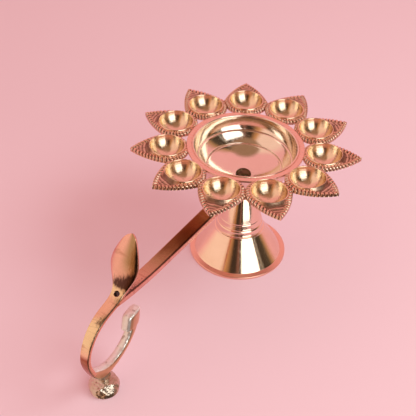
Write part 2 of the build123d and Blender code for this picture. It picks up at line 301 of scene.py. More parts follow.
def tint(tree, factor, first, second):
    """Colour between two colours by a factor."""
    node = add_node(tree, "ShaderNodeMix", {"data_type": "RGBA"})
    for key, value in (("Factor_Float", factor), ("A_Color", first), ("B_Color", second)):
        socket = next(s for s in node.inputs if s.identifier == key)
        if isinstance(value, bpy.types.NodeSocket):
            tree.links.new(value, socket)
        else:
            socket.default_value = value
    return next(s for s in node.outputs if s.identifier == "Result_Color")


def tint_value(tree, factor, first, second):
    """Number between two numbers by a factor."""
    return math_node(tree, "MULTIPLY_ADD", factor, math_node(tree, "SUBTRACT", second, first), first)


# %% Scratches and stains
def make_scratches():
    """Thin random lines: three noises, each drawn out some sixty times along its own direction, kept at
    their crests."""
    group, source, result = new_group("fine_scratches", {"Vector": None, "Scale": 1.0}, ["Mask"])
    masks = []
    for turn in (0.4, 1.3, 2.3):
        turned = add_node(group, "ShaderNodeMapping", {}, Vector=source.outputs["Vector"])
        turned.inputs["Rotation"].default_value = (turn, turn * 1.7, turn * 0.6)
        turned.inputs["Scale"].default_value = (900.0, 14.0, 900.0)
        noise = add_node(group, "ShaderNodeTexNoise", {}, Vector=turned.outputs[0],
                         Scale=source.outputs["Scale"], Detail=2.0)
        masks.append(spread(group, noise.outputs["Fac"], 0.63, 0.70))
    top = math_node(group, "MAXIMUM", math_node(group, "MAXIMUM", masks[0], masks[1]), masks[2])
    group.links.new(top, result.inputs["Mask"])
    return group


def make_stains():
    """Soft blotches with small dark specks: a broad noise, and the inner part of scattered cells."""
    group, source, result = new_group("stains", {"Vector": None, "Scale": 1.0}, ["Blotch", "Speck"])
    place, scale = source.outputs["Vector"], source.outputs["Scale"]
    broad = math_node(group, "MULTIPLY", scale, 70.0)
    blotch = add_node(group, "ShaderNodeTexNoise", {}, Vector=place, Scale=broad, Detail=5.0, Roughness=0.6)
    fine = math_node(group, "MULTIPLY", scale, 260.0)
    cells = add_node(group, "ShaderNodeTexVoronoi", {}, Vector=place, Scale=fine, Randomness=1.0)
    cell_number = add_node(group, "ShaderNodeSeparateColor", {}, i0=cells.outputs["Color"]).outputs[0]
    chosen = spread(group, cell_number, 0.86, 0.9)
    speck = math_node(group, "MULTIPLY", spread(group, cells.outputs["Distance"], 0.22, 0.08), chosen)
    group.links.new(spread(group, blotch.outputs["Fac"], 0.35, 0.7), result.inputs["Blotch"])
    group.links.new(speck, result.inputs["Speck"])
    return group


SCRATCHES = make_scratches()
STAINS = make_stains()
print("shader groups:", [group.name for group in bpy.data.node_groups])

# %% [markdown]
# ## Brass finishes
# Brass is a metal, so nearly all of its look is what it reflects. Each finish sets a base colour, a
# roughness and a bump on one Principled shader. The turned pieces carry rings that follow the height, the
# brushed pieces carry streaks along the handle, and the cast pieces carry a grainy skin where the file
# has not been. Values stored on a piece's own points say where it is filed, worn, scorched, sooty and
# grimy, and where shade and reflections are painted into its colour: in the petals' cuts, pans and
# undersides, on the rivet, on one side of the hook and on the handle's bar and leaf.

# %% Finishes
def start_finish(name):
    """New material with its shader, and the object coordinates that its patterns read."""
    material = bpy.data.materials.new(name)
    material.use_nodes = True
    tree = material.node_tree
    shader = tree.nodes["Principled BSDF"]
    shader.inputs["Metallic"].default_value = 1.0
    place = tree.nodes.new("ShaderNodeTexCoord").outputs["Object"]
    return material, tree, shader, place


def use_group(tree, group, place, scale):
    """Place a shared effect in a finish and return its outputs."""
    return add_node(tree, "ShaderNodeGroup", {"node_tree": group}, Vector=place, Scale=scale).outputs


def attribute(tree, name):
    """A value stored on the piece's own points."""
    return add_node(tree, "ShaderNodeAttribute", {"attribute_name": name}).outputs["Fac"]


def streaks(tree, place, scales):
    """Noise drawn out by unequal scales along X, Y and Z."""
    drawn = add_node(tree, "ShaderNodeMapping", {}, Vector=place)
    drawn.inputs["Scale"].default_value = scales
    noise = add_node(tree, "ShaderNodeTexNoise", {}, Vector=drawn.outputs[0], Scale=1.0, Detail=3.0)
    return noise.outputs["Fac"]


def set_bump(tree, shader, height, strength, distance):
    """Feed a height through a Bump node to the shader's normal."""
    bump = add_node(tree, "ShaderNodeBump", {}, Height=height, Strength=strength, Distance=distance)
    tree.links.new(bump.outputs["Normal"], shader.inputs["Normal"])


def turned_finish(name, colour, stain_colour, roughness, ring_strength):
    """Brass from the lathe: fine rings by height, a little staining, and hair-thin scratches.
    Its lips were only filed, so they are duller and redder."""
    material, tree, shader, place = start_finish(name)
    stains = use_group(tree, STAINS, place, 0.6)
    scratches = use_group(tree, SCRATCHES, place, 1.0)["Mask"]
    rings = streaks(tree, place, (4.0, 4.0, 3200.0))
    base = tint(tree, math_node(tree, "MULTIPLY", stains["Blotch"], 0.35), colour, stain_colour)
    base = tint(tree, math_node(tree, "MULTIPLY", stains["Speck"], 0.5), base, stain_colour)
    lip = attribute(tree, "lip")
    tree.links.new(tint(tree, lip, base, (0.92, 0.60, 0.46, 1)), shader.inputs["Base Color"])
    rough = math_node(tree, "MULTIPLY_ADD", stains["Blotch"], 0.06, roughness)
    rough = math_node(tree, "MULTIPLY_ADD", lip, 0.22, rough)
    rough = math_node(tree, "MULTIPLY_ADD", scratches, 0.10, rough)
    tree.links.new(rough, shader.inputs["Roughness"])
    height = math_node(tree, "MULTIPLY_ADD", scratches, -0.3, rings)
    set_bump(tree, shader, height, ring_strength, 0.0004)
    return material


def petal_finish(name):
    """Cast petal: the cup is turned bright with fine rings and the border is browner. By the cut value,
    painted shade darkens the rib slots, the pan, the lip's outer side, the outer wall and the underside.
    """
    material, tree, shader, place = start_finish(name)
    cup, cut = attribute(tree, "cup"), attribute(tree, "cut")
    stains = use_group(tree, STAINS, place, 1.2)
    scratches = use_group(tree, SCRATCHES, place, 1.3)["Mask"]
    cast = tint(tree, stains["Blotch"], (0.96, 0.70, 0.54, 1), (0.80, 0.50, 0.33, 1))
    worn = math_node(tree, "MULTIPLY", stains["Blotch"], 0.4)
    bright = tint(tree, worn, (0.87, 0.71, 0.53, 1), (0.80, 0.56, 0.34, 1))
    base = tint(tree, cup, cast, bright)
    # Painted shade: the cut value turns the colour near black brown in the rib slots, in the pan round the
    # cup, on the lip's outer side, on the outer wall and under the petal.
    base = tint(tree, math_node(tree, "MULTIPLY", cut, 0.92), base, (0.10, 0.042, 0.022, 1))
    tree.links.new(base, shader.inputs["Base Color"])
    rough = spread(tree, cup, 0.0, 1.0, 0.18, 0.12)
    rough = math_node(tree, "MULTIPLY_ADD", stains["Blotch"], 0.06, rough)
    rough = math_node(tree, "MULTIPLY_ADD", cut, 0.3, rough)
    tree.links.new(rough, shader.inputs["Roughness"])
    along = add_node(tree, "ShaderNodeCombineXYZ", {}, X=attribute(tree, "turn")).outputs[0]
    rings = streaks(tree, along, (2600.0, 0.0, 0.0))
    grain = add_node(tree, "ShaderNodeTexNoise", {}, Vector=place, Scale=900.0, Detail=3.0).outputs["Fac"]
    skin = tint_value(tree, cup, grain, rings)
    set_bump(tree, shader, math_node(tree, "MULTIPLY_ADD", scratches, -0.15, skin), 0.25, 0.0004)
    return material


def brushed_finish(name, colour, dark_colour):
    """Filed and brushed brass: streaks along the piece, dark where the file has chattered. A painted
    reflection turns it tan, and burnt brown at its higher values: on one side of the leaf, and on the bar's
    top near the flower, which mirrors the petals' shaded undersides. Where a finger wears it, it is gold,
    and a scorch is red brown. It goes near black where the piece's own value for sooty marks and shade
    plus a streaky noise passes a limit."""
    material, tree, shader, place = start_finish(name)
    stains = use_group(tree, STAINS, place, 0.8)
    scratches = use_group(tree, SCRATCHES, place, 0.8)["Mask"]
    brush = streaks(tree, place, (25.0, 900.0, 900.0))
    across = streaks(tree, place, (420.0, 60.0, 60.0))
    painted_reflection = attribute(tree, "painted_reflection")
    # Painted reflection: tan, then burnt brown at higher values, where the piece would mirror something dark.
    base = tint(tree, spread(tree, painted_reflection, 0.0, 0.5), colour, (0.46, 0.33, 0.17, 1))
    base = tint(tree, spread(tree, painted_reflection, 0.5, 1.0), base, (0.36, 0.15, 0.05, 1))
    base = tint(tree, attribute(tree, "worn"), base, (0.94, 0.82, 0.50, 1))
    base = tint(tree, attribute(tree, "scorch"), base, (0.33, 0.075, 0.050, 1))
    base = tint(tree, math_node(tree, "MULTIPLY", stains["Blotch"], 0.3), base, dark_colour)
    base = tint(tree, spread(tree, across, 0.60, 0.72, 0.0, 0.5), base, dark_colour)
    smear = math_node(tree, "ADD", attribute(tree, "soot_and_shade"), streaks(tree, place, (900.0, 900.0, 160.0)))
    base = tint(tree, spread(tree, smear, 0.72, 1.22, 0.0, 0.94), base, (0.060, 0.024, 0.018, 1))
    tree.links.new(base, shader.inputs["Base Color"])
    rough = math_node(tree, "MULTIPLY_ADD", brush, 0.14, 0.16)
    tree.links.new(rough, shader.inputs["Roughness"])
    height = math_node(tree, "MULTIPLY_ADD", scratches, -0.3, brush)
    set_bump(tree, shader, height, 0.3, 0.0003)
    return material


def cast_finish(name):
    """Sand-cast brass: a pale grainy skin with dark pits, and smooth salmon sides where it was filed."""
    material, tree, shader, place = start_finish(name)
    filed = attribute(tree, "filed")
    stains = use_group(tree, STAINS, place, 1.6)
    grain = add_node(tree, "ShaderNodeTexNoise", {}, Vector=place, Scale=420.0, Detail=2.0, Roughness=0.5)
    broad = add_node(tree, "ShaderNodeTexNoise", {}, Vector=place, Scale=170.0, Detail=3.0, Roughness=0.6)
    pits = spread(tree, broad.outputs["Fac"], 0.40, 0.34)
    skin = tint(tree, stains["Blotch"], (0.90, 0.94, 0.92, 1), (0.80, 0.76, 0.70, 1))
    skin = tint(tree, math_node(tree, "MULTIPLY", pits, 0.6), skin, (0.20, 0.12, 0.08, 1))
    # Darker brown by the piece's own value: painted shade on one side of the hook, and an even darkening over
    # the foot.
    skin = tint(tree, attribute(tree, "grime_and_shade"), skin, (0.44, 0.24, 0.10, 1))
    tree.links.new(tint(tree, filed, skin, (0.90, 0.62, 0.44, 1)), shader.inputs["Base Color"])
    rough = math_node(tree, "MULTIPLY_ADD", grain.outputs["Fac"], 0.2, 0.22)
    tree.links.new(tint_value(tree, filed, rough, 0.34), shader.inputs["Roughness"])
    bare = math_node(tree, "MAXIMUM", filed, attribute(tree, "grime_and_shade"))
    tree.links.new(spread(tree, bare, 0.0, 0.5, 0.72, 1.0), shader.inputs["Metallic"])
    height = math_node(tree, "MULTIPLY", grain.outputs["Fac"], math_node(tree, "SUBTRACT", 1.0, filed))
    set_bump(tree, shader, height, 0.55, 0.0009)
    return material


def plain_finish(name, colour, dark_colour, roughness):
    """Plain machined brass with blotches of an older colour, near black by the piece's own value: on the
    rivet that is painted shade for its dark bore.
    """
    material, tree, shader, place = start_finish(name)
    stains = use_group(tree, STAINS, place, 1.5)
    base = tint(tree, stains["Blotch"], colour, dark_colour)
    base = tint(tree, attribute(tree, "soot_and_shade"), base, (0.010, 0.008, 0.006, 1))
    tree.links.new(base, shader.inputs["Base Color"])
    rough = math_node(tree, "MULTIPLY_ADD", stains["Blotch"], 0.15, roughness)
    tree.links.new(rough, shader.inputs["Roughness"])
    return material


FINISHES = {
    "turned_brass": turned_finish("turned_brass", (0.96, 0.79, 0.63, 1), (0.82, 0.55, 0.36, 1), 0.09, 0.07),
    "polished_brass": turned_finish("polished_brass", (0.89, 0.78, 0.67, 1), (0.80, 0.64, 0.50, 1),
                                    0.08, 0.05),
    "petal_brass": petal_finish("petal_brass"),
    "brushed_brass": brushed_finish("brushed_brass", (0.90, 0.54, 0.43, 1), (0.50, 0.24, 0.15, 1)),
    "cast_brass": cast_finish("cast_brass"),
    "dark_brass": plain_finish("dark_brass", (0.20, 0.14, 0.07, 1), (0.06, 0.04, 0.025, 1), 0.20),
    "plain_brass": plain_finish("plain_brass", (0.86, 0.66, 0.40, 1), (0.62, 0.42, 0.22, 1), 0.25),
}
for node, piece in frame["nodes"].items():
    slot = next(part["material_slot"] for part in frame["record"]["subparts"] if part["node"] == node)
    piece.data.materials.clear()
    piece.data.materials.append(FINISHES[slot])
print("finishes:", sorted(FINISHES))

# %% [markdown]
# ## Stand
# The stand was turned from a hollow casting: a filed lip that slopes up from the ground, three straight
# cones, two cut lines where the lowest cone ends, a fine scratch line above them, and a seat on top. One
# closed profile, outside and inside, turned once round makes it, so the hollow underneath is real.

# %% Stand
STAND_R, _, STAND_H = np.array(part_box("stand")[1]) / MM
BOLT_HOLE_R = 3.05
STAND_SEAT_R = 11.5
STAND_NECK = (8.7, STAND_H - 8.3)
STAND_LIP = (STAND_R - 3.2, 2.4)
STAND_WAIST = (16.7, 22.6)
STAND_BEND = (13.3, 36.5)
STAND_WALL = 2.4
STAND_HOLLOW_R = 7.2
STAND_ROOF = STAND_H - 4.0
STAND_CUTS = [(16.7, 22.8), (15.4, 27.3)]
STAND_SCRATCH = (14.2, 32.0)


def stand_profile():
    """Closed line of the bell: three straight cones, a parabola up to the seat, then the hollow inside."""
    flank = rounded([(*STAND_LIP, 0), (*STAND_WAIST, 1.5), (*STAND_BEND, 5.0), (*STAND_NECK, 0)], 9)
    flank = even_line(flank, 260)
    flank = grooved(flank, STAND_CUTS, -0.34, 0.42)
    flank = grooved(flank, [STAND_SCRATCH], -0.14, 0.3)
    inside = np.maximum(flank[::8] - (STAND_WALL, 0), (STAND_HOLLOW_R, 0))
    rise = np.linspace(0, 1, 12)[1:, None]
    neck = STAND_NECK + rise ** [2, 1] * (STAND_SEAT_R - STAND_NECK[0], STAND_H - 1.6 - STAND_NECK[1])
    seat = [(STAND_SEAT_R, STAND_H - 0.3), (STAND_SEAT_R - 0.3, STAND_H), (BOLT_HOLE_R, STAND_H)]
    roof = [(BOLT_HOLE_R, STAND_ROOF), (inside[-1, 0], STAND_ROOF)]
    foot = rounded([(inside[0, 0], 2.4, 0), (inside[0, 0], 0, 0.3), (STAND_R, 0, 0.25), (STAND_R, 1.6, 0.5),
                    (*STAND_LIP, 0)])
    lip = np.linspace(foot[-2], flank[0], 7)[1:-1]
    return np.concatenate([foot[1:-1], lip, flank, neck, seat, roof, inside[::-1]])


grid = spin(stand_profile(), 144)
lip = np.clip((STAND_LIP[1] + 0.2 - grid[..., 2]) / 0.2, 0, 1)
stand_mesh = surface_mesh("bell_stand", grid, ring=True, values={"lip": lip})
dress("bell_stand", stand_mesh, "stand", "turned_brass", "stand")

# %% [markdown]
# ## Bowl
# The bowl is half an ellipse inside, with two cut lines, a small bead round its mouth and a flat flange
# that the petals are brazed to. It is one closed profile again, with the bolt's hole in the floor.

# %% Bowl
BOWL_LOW, BOWL_HIGH = (np.array(corner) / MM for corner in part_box("bowl"))
FLANGE_R = BOWL_HIGH[0]
RIM_Z = BOWL_HIGH[2]
BOWL_BASE_Z = BOWL_LOW[2]
BOWL_FLOOR_Z = BOWL_BASE_Z + 3.7
BOWL_MOUTH_R = FLANGE_R - 4.9
BOWL_FLAT_R = 7.0
BOWL_BOSS_R = 11.5
BOWL_WALL = 2.0
BEAD_R = 0.75
BOWL_CUTS = [(30.9, 79.3), (24.1, 73.2)]


def half_ellipse(mouth_r, top_z, flat_r, flat_z, count):
    """Quarter of an ellipse from its flat middle (flat_r, flat_z) up to its mouth at (mouth_r, top_z)."""
    sweep = math.acos(flat_r / mouth_r)
    depth = (top_z - flat_z) / math.sin(sweep)
    angle = np.linspace(sweep, 0, count)
    return np.stack([mouth_r * np.cos(angle), top_z - depth * np.sin(angle)], axis=1)


def bowl_profile():
    """Closed line of the bowl: inner ellipse with two cuts, bead, flange, outer ellipse and flat boss."""
    inside = half_ellipse(BOWL_MOUTH_R, RIM_Z - 0.9, BOWL_FLAT_R, BOWL_FLOOR_Z, 220)
    inside = grooved(inside, BOWL_CUTS, 0.30, 0.36)
    bead_turn = np.linspace(np.pi, 0, 9)
    bead_round = np.stack([np.cos(bead_turn), np.sin(bead_turn)], axis=1)
    bead = np.array([BOWL_MOUTH_R + BEAD_R, RIM_Z - BEAD_R]) + BEAD_R * bead_round
    flange = rounded([(BOWL_MOUTH_R + 1.6, RIM_Z - 0.55, 0), (FLANGE_R, RIM_Z - 0.45, 0.4),
                      (FLANGE_R, RIM_Z - 2.0, 0.4), (BOWL_MOUTH_R + BOWL_WALL, RIM_Z - 2.0, 0)])
    top = np.linspace(flange[0], flange[1], 6)[:-1]
    outside = half_ellipse(BOWL_MOUTH_R + BOWL_WALL, RIM_Z, BOWL_BOSS_R, BOWL_BASE_Z, 60)[::-1]
    outside = outside[outside[:, 1] < RIM_Z - 2.2]
    floor = [(BOLT_HOLE_R, BOWL_BASE_Z), (BOLT_HOLE_R, BOWL_FLOOR_Z)]
    return np.concatenate([inside, bead[1:], top, flange[1:], outside, floor])


grid = spin(bowl_profile(), 168)
lip = np.clip(np.hypot(grid[..., 0], grid[..., 1]) - BOWL_MOUTH_R - 0.4, 0, 1) * (grid[..., 2] > RIM_Z - 2.2)
bowl_mesh = surface_mesh("bowl_shell", grid, ring=True, values={"lip": 0.7 * lip})
dress("bowl_shell", bowl_mesh, "flower", "polished_brass", "bowl")

# %% [markdown]
# ## Centre bolt
# Only the domed head shows, dark with old oil at the bottom of the bowl. The shank runs down through the
# handle's eye and the stand's seat to the washer and nut, so it is made in full for views from below.

# %% Centre bolt
BOLT_LOW, BOLT_HIGH = (np.array(corner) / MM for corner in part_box("center_bolt"))
BOLT_HEAD_R = BOLT_HIGH[0]
BOLT_R = 3.0
THREAD_PITCH = 1.0
THREAD_DEPTH = 0.28


def bolt_profile():
    """Line from tail to dome: a zigzag of thread ridges, a plain shank, the brim and a round dome."""
    thread_z = np.arange(BOLT_LOW[2] + 0.6, BOLT_LOW[2] + 12.0, THREAD_PITCH / 4)
    ridge = np.abs((thread_z / THREAD_PITCH) % 1 - 0.5) * 2
    thread = np.stack([BOLT_R - THREAD_DEPTH * ridge, thread_z], axis=1)
    shank = [(BOLT_R, thread_z[-1] + 0.5), (BOLT_R, BOWL_FLOOR_Z)]
    dome_turn = np.linspace(0.12, np.pi / 2 - 0.05, 14)
    height = BOLT_HIGH[2] - BOWL_FLOOR_Z
    dome = np.stack([BOLT_HEAD_R * np.cos(dome_turn), BOWL_FLOOR_Z + height * np.sin(dome_turn)], axis=1)
    tail = [(0.8, BOLT_LOW[2]), (BOLT_R - 0.5, BOLT_LOW[2])]
    return np.concatenate([tail, thread, shank, [(BOLT_HEAD_R, BOWL_FLOOR_Z)], dome])


bolt_mesh = surface_mesh("dome_bolt", spin(bolt_profile(), 48))
dress("dome_bolt", bolt_mesh, "flower", "dark_brass", "center_bolt")

# %% [markdown]
# ## Petal cups
# Each petal was cast on its own: a pointed tray with a rope-like border, a deep round cup whose lip
# stands above the border, and the cup's dome underneath. Seen from above it is a half circle at the back
# and two bowed sides that meet in a point. The grid runs round this outline, and from the middle of the
# cup out over the lip and the border and back under to the middle again. Eleven of them differ a little,
# because they were filed and brazed by hand.

# %% Petal outline
PETAL_COUNT = 11
PETAL_STEP = 2 * math.pi / PETAL_COUNT
PETAL_FIRST = math.radians(180 - 2.25) + (0.5 - PETAL_COUNT // 2) * PETAL_STEP
PETAL_MIDDLE_R = 52.0
PETAL_HALF_W = 15.0
PETAL_POINT = 23.0
PETAL_SIDE_BULGE = 2.0
BRAZE_GAP = 0.04
CUP_BACK = 0.8
RIBS = 42
RIB_POINTS = 10


def arc_between(start, end, bulge, count):
    """Points of a circular arc between two points, bulging to the right of the way from start to end."""
    start, end = np.asarray(start, float), np.asarray(end, float)
    chord = end - start
    length = np.linalg.norm(chord)
    radius = length ** 2 / (8 * bulge) + bulge / 2
    side = np.array([chord[1], -chord[0]]) / length
    centre = (start + end) / 2 + side * (bulge - radius)
    half = math.asin(length / 2 / radius)
    turn = np.linspace(-half, half, count)[:, None]
    return centre + radius * (np.cos(turn) * side + np.sin(turn) * chord / length)


def petal_outline(count):
    """Closed outline from the tip round the back to the tip again, at even steps of its length."""
    side = arc_between((PETAL_POINT, 0), (0, PETAL_HALF_W), PETAL_SIDE_BULGE, 200)
    turn = np.linspace(np.pi / 2, 3 * np.pi / 2, 300)[1:-1]
    back = PETAL_HALF_W * np.stack([np.cos(turn), np.sin(turn)], axis=1)
    line = np.concatenate([side, back, side[::-1] * (1, -1)])
    return even_line(line, count + 1)[:-1]


def inset(outline, distance):
    """Outline moved inwards square to itself; past the tip's mitre its points stay on the middle line."""
    tangent = np.roll(outline, -1, axis=0) - np.roll(outline, 1, axis=0)
    tangent[0] = (0, 1)
    tangent /= np.linalg.norm(tangent, axis=1)[:, None]
    moved = outline + distance * np.stack([-tangent[:, 1], tangent[:, 0]], axis=1)
    half = np.sign(np.arange(len(outline)) - len(outline) / 2)
    crossed = (moved[:, 1] * half > 0) | (np.arange(len(outline)) == 0)
    moved[crossed, 1] = 0
    return moved


def keep_in_sector(points):
    """Hold points in the petal's share of the flower and outside the flange, seen from the lamp's axis."""
    x, y = points[..., 0] + PETAL_MIDDLE_R, points[..., 1]
    limit = x * math.tan(PETAL_STEP / 2) - BRAZE_GAP
    y = np.clip(y, -limit, limit)
    grow = np.maximum(1, (FLANGE_R + BRAZE_GAP) / np.hypot(x, y))
    return np.stack([x * grow - PETAL_MIDDLE_R, y * grow], axis=-1)


# %% Petal surface
CUP_R = 11.2
CUP_LIP_R = 11.9
CUP_RISE = 1.6
CUP_DEPTH = 9.8
CUP_WALL = 1.2
BORDER_W = 3.0
PAN_DEPTH = 0.55
EDGE_DEPTH = 2.4
EDGE_CUT = 0.55
LIP_STEP = 1.2
PAN_STEP = 0.55
BORDER_CROWN = 0.45
BORDER_DROP = 0.15
RIDGE_PITCH = 2.1
RIDGE_HEIGHT = 0.6
RIB_DEPTH = 0.9
RIB_LEAST = 0.8
RIB_SLANT = 0.4
SLOT_SHARE = 0.29


def cup_line():
    """Cup from its middle outwards, as (radius, height): most of a half sphere, then a narrow round lip."""
    sphere = (CUP_R ** 2 + CUP_DEPTH ** 2) / (2 * CUP_DEPTH)
    turn = np.linspace(0.04, math.asin((CUP_R - 0.1) / sphere), 20)
    inside = np.stack([sphere * np.sin(turn), CUP_RISE - CUP_DEPTH + sphere * (1 - np.cos(turn))], axis=1)
    lip = rounded([(CUP_R - 0.05, CUP_RISE - 0.5, 0), (CUP_R + 0.05, CUP_RISE, 0.25),
                   (CUP_LIP_R, CUP_RISE - 0.1, 0.35), (CUP_LIP_R + 0.1, CUP_RISE - 0.8, 0)])
    return inside, lip[1:-1]


def under_height(distance):
    """Underside below the border: a flat plate and the cup's dome, blended where they meet."""
    sphere = (CUP_R ** 2 + CUP_DEPTH ** 2) / (2 * CUP_DEPTH)
    dome_r = sphere + CUP_WALL
    dome = CUP_RISE - CUP_DEPTH + sphere - np.sqrt(np.clip(dome_r ** 2 - distance ** 2, 0, None))
    blend = np.clip(0.5 + (dome + EDGE_DEPTH) / 3.0, 0, 1)
    return dome + (-EDGE_DEPTH - dome) * blend - 0.75 * blend * (1 - blend)


def petal_grid(seed, tip_lift):
    """Grid of one petal about its half circle's middle, with its masks; the seed varies the hand work. A
    rib's slot is where the phase along the border is near a whole number, and the slant makes it look
    like rope."""
    random = np.random.default_rng(seed)
    count = RIBS * RIB_POINTS
    centre = np.array([-CUP_BACK, 0.0])
    outline = keep_in_sector(petal_outline(count))
    inner = inset(outline, BORDER_W)
    edge_away = np.linalg.norm(outline - centre, axis=1)
    bearing = np.maximum.accumulate(np.unwrap(np.arctan2(*(inner - centre).T[::-1])))
    rim = np.stack([np.cos(bearing), np.sin(bearing)], axis=1)
    inner_away = np.linalg.norm(inner - centre, axis=1)
    inner_away = np.minimum(np.maximum(inner_away, CUP_LIP_R + 0.15), edge_away - 0.1)
    inner = centre + rim * inner_away[:, None]

    inside, lip = cup_line()
    cup = np.concatenate([inside, lip])
    cup_xy = centre + np.minimum(cup[:, 0, None], (inner_away - 0.05)[None])[..., None] * rim[None]
    cup_z = np.broadcast_to(cup[:, 1, None], cup_xy.shape[:2])

    room = np.clip((inner_away - CUP_LIP_R - 0.2) / 2.5, 0, 1)[None]
    inner_z = (CUP_RISE - LIP_STEP) * (1 - room) - PAN_STEP * room
    outer_z = -BORDER_DROP * (1 - room)
    out = np.linspace(0, 1, 12)[1:, None]
    reach = out * (inner_away - CUP_LIP_R - 0.1)[None]
    pan_xy = centre + (CUP_LIP_R + 0.1 + reach)[..., None] * rim[None]
    waves = 0.5 - 0.5 * np.cos(2 * np.pi * (reach + 0.3) / RIDGE_PITCH)
    pan_z = (CUP_RISE - 0.5) * (1 - out) ** 3 + inner_z * (1 - (1 - out) ** 3)
    pan_z = pan_z - room * PAN_DEPTH * np.sin(np.pi * np.clip(out, 0, 1)) ** 0.6
    pan_z = pan_z + RIDGE_HEIGHT * waves * room * np.clip(reach - 0.8, 0, 1) * np.sin(np.pi * out) ** 0.7

    across = np.linspace(1, 0, 12)[:, None]
    band_xy = outline[None] + across[..., None] * (inner - outline)[None]
    band_w = np.clip((edge_away - inner_away) / 2.0, 0.15, 1)[None]
    crown = outer_z + (inner_z - outer_z) * across
    crown = crown + BORDER_CROWN * (across * (1 - across)) * 4 * band_w - 0.2 * (1 - across) ** 6
    phase = np.arange(count)[None] / RIB_POINTS + RIB_SLANT * (across - 0.5) + random.uniform(0, 1)
    phase = phase + 0.15 * np.sin(2 * np.pi * np.arange(count)[None] / count * 5 + random.uniform(0, 6))
    off_slot = np.abs((phase + 0.5) % 1 - 0.5)
    slot = np.clip(1 - off_slot / SLOT_SHARE, 0, 1) ** 0.8
    cut = slot * np.clip((1.02 - across) * 5, 0, 1) * np.maximum(band_w, RIB_LEAST)
    band_z = crown - RIB_DEPTH * cut

    drop = np.linspace(0, 1, 5)[1:, None]
    edge_cut = cut[-1][None] * (1 - drop) ** 0.4
    outward = (outline - centre) / edge_away[:, None]
    edge_xy = outline[None] - EDGE_CUT * edge_cut[..., None] * outward[None]
    edge_z = band_z[-1][None] + (-EDGE_DEPTH - band_z[-1][None]) * drop

    shrink = np.concatenate([np.linspace(1, 0, 5)[1:], np.zeros(12)])[:, None]
    dome_turn = np.concatenate([np.ones(4), np.linspace(1, 0.05, 13)[1:]])[:, None]
    base_away = np.minimum(edge_away - 0.1, CUP_LIP_R + 0.6)[None]
    under_away = shrink * edge_away[None] + (1 - shrink) * base_away * np.sin(dome_turn * np.pi / 2)
    under_xy = centre + under_away[..., None] * outward[None]
    under_z = under_height(under_away)

    flat = np.concatenate([cup_xy, pan_xy, band_xy, edge_xy, under_xy])
    height = np.concatenate([cup_z, pan_z, band_z, edge_z, under_z])
    rows = np.cumsum([0, len(inside), len(lip), len(pan_xy), len(band_xy), len(edge_xy), len(under_xy)])
    masks = {key: np.zeros(height.shape) for key in ("cup", "cut", "turn")}
    masks["cup"][:rows[2]] = 1
    masks["turn"][:rows[2]] = np.cumsum(np.hypot(*np.diff(cup, axis=0, prepend=cup[:1]).T))[:, None] * MM
    ridge = waves * np.clip(reach - 0.9, 0, 1)
    masks["cup"][rows[2]:rows[3]] = 0.7 * ridge
    # Painted shade by the cut value: the outer half of the cup's lip, the pan between its ridges, the
    # border's rib slots, the outer wall, and the whole underside at half strength.
    masks["cut"][rows[1] + len(lip) // 2:rows[2]] = 0.8 * room
    masks["cut"][rows[2]:rows[3]] = room * (0.85 - 0.75 * ridge)
    masks["cut"][rows[3]:rows[4]] = cut
    masks["cut"][rows[4]:rows[5]] = np.maximum(edge_cut, 0.1)
    masks["cut"][rows[5]:] = 0.5
    tilt = random.normal(0, 0.004) * flat[..., 0] + random.normal(0, 0.004) * flat[..., 1]
    tilt = tilt + tip_lift * np.clip(flat[..., 0] / PETAL_POINT, 0, 1) ** 1.5
    return np.concatenate([flat, (height + tilt)[..., None]], axis=-1), masks


def place_petal(grid, number):
    """Turn a petal's grid to its own place round the lamp's axis and lift it to the rim."""
    turn = PETAL_FIRST + number * PETAL_STEP
    x, y = grid[..., 0] + PETAL_MIDDLE_R, grid[..., 1]
    turned = [x * math.cos(turn) - y * math.sin(turn), x * math.sin(turn) + y * math.cos(turn)]
    return np.stack([*turned, grid[..., 2] + RIM_Z], axis=-1)


TIP_LIFTS = {0: 0.6, 1: 0.6, 7: 2.6, 8: 2.2, 9: 1.4, 10: 0.7}
for number in range(PETAL_COUNT):
    name = f"petal_cup_{number + 1:02d}"
    grid, masks = petal_grid(number, TIP_LIFTS.get(number, 0.0))
    petal_mesh = surface_mesh(name, place_petal(grid, number), values=masks, sharp_deg=60)
    dress(name, petal_mesh, "flower", "petal_brass", f"petal_{number + 1:02d}")

# %% [markdown]
# ## Handle bar
# The bar is a flat taper with bevelled upper edges. It is clamped by its round eye and rises a little
# towards the leaf. A section with bevels is carried along it: its half width is the eye's circle near the
# lamp and the taper further out, and its end is cut on the slant to meet the back of the leaf.

# %% Handle bar
BAR_T = 3.3
EYE_R = 11.0
BAR_HALF_ROOT = 5.3
BAR_HALF_END = 4.3
BAR_END = 143.0
BAR_STRAIGHT = 98.0
BAR_RISE = 4.1
BAR_END_Z = STAND_H + BAR_RISE
BAR_BEVEL = (0.7, 0.45)
BAR_SLANT = 6.0
BAR_PAST_END = 0.6


def bar_section():
    """Closed section as (share of half width, bevel share, height share), counter-clockwise from the lower
    left."""
    top = np.linspace(1, -1, 9)
    corners = [(-1, 1, 0.0), (0, 1, 0.0), (1, 1, 0.0), (1, 0, 0.12), (1, 0, 1 - BAR_BEVEL[1] / BAR_T)]
    corners += [(side, 1, 1.0) for side in top]
    corners += [(-1, 0, 1 - BAR_BEVEL[1] / BAR_T), (-1, 0, 0.12)]
    return np.array(corners, float)


